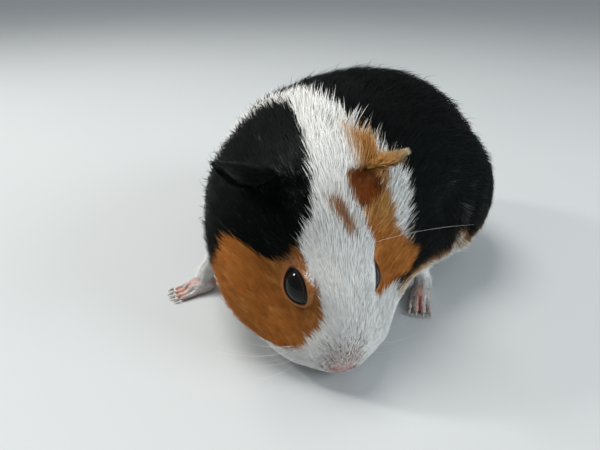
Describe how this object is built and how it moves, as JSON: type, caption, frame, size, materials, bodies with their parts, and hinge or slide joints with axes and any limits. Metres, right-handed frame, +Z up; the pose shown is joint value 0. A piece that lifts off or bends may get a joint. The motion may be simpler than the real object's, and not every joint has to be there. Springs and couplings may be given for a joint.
{
  "type": "guinea pig figure",
  "caption": "Life-size still model of a young smooth-coated guinea pig standing with its body curved and its nose near the floor.",
  "frame": {"origin": "on the floor, under the middle of the animal's bounding box", "axes": "+Z up; +Y from the nose towards the rump; +X towards the animal's left side"},
  "size_m": [0.0908, 0.1002, 0.0514],
  "materials": {
    "coat_white": "short dense white hair",
    "coat_black": "short glossy black hair",
    "foot_skin": "bare pink skin, thinly haired",
    "ear_skin": "thin brown skin, finely haired",
    "eye": "wet, glossy, nearly black",
    "claw": "horn, slightly translucent"
  },
  "bodies": {
    "root": {"head": "coat_white", "eye_left": "eye", "eye_right": "eye", "ear_left": "ear_skin", "ear_right": "ear_skin", "neck": "coat_white", "chest": "coat_black", "belly": "coat_black", "rump": "coat_black", "leg_front_right": "coat_white", "foot_front_right": "foot_skin", "claw_front_right_1": "claw", "claw_front_right_2": "claw", "claw_front_right_3": "claw", "claw_front_right_4": "claw", "leg_front_left": "coat_white", "foot_front_left": "foot_skin", "claw_front_left_1": "claw", "claw_front_left_2": "claw", "claw_front_left_3": "claw", "claw_front_left_4": "claw", "leg_hind_right": "coat_white", "foot_hind_right": "foot_skin", "claw_hind_right_1": "claw", "claw_hind_right_2": "claw", "claw_hind_right_3": "claw", "leg_hind_left": "coat_white", "foot_hind_left": "foot_skin", "claw_hind_left_1": "claw", "claw_hind_left_2": "claw", "claw_hind_left_3": "claw"}
  },
  "joints": []
}
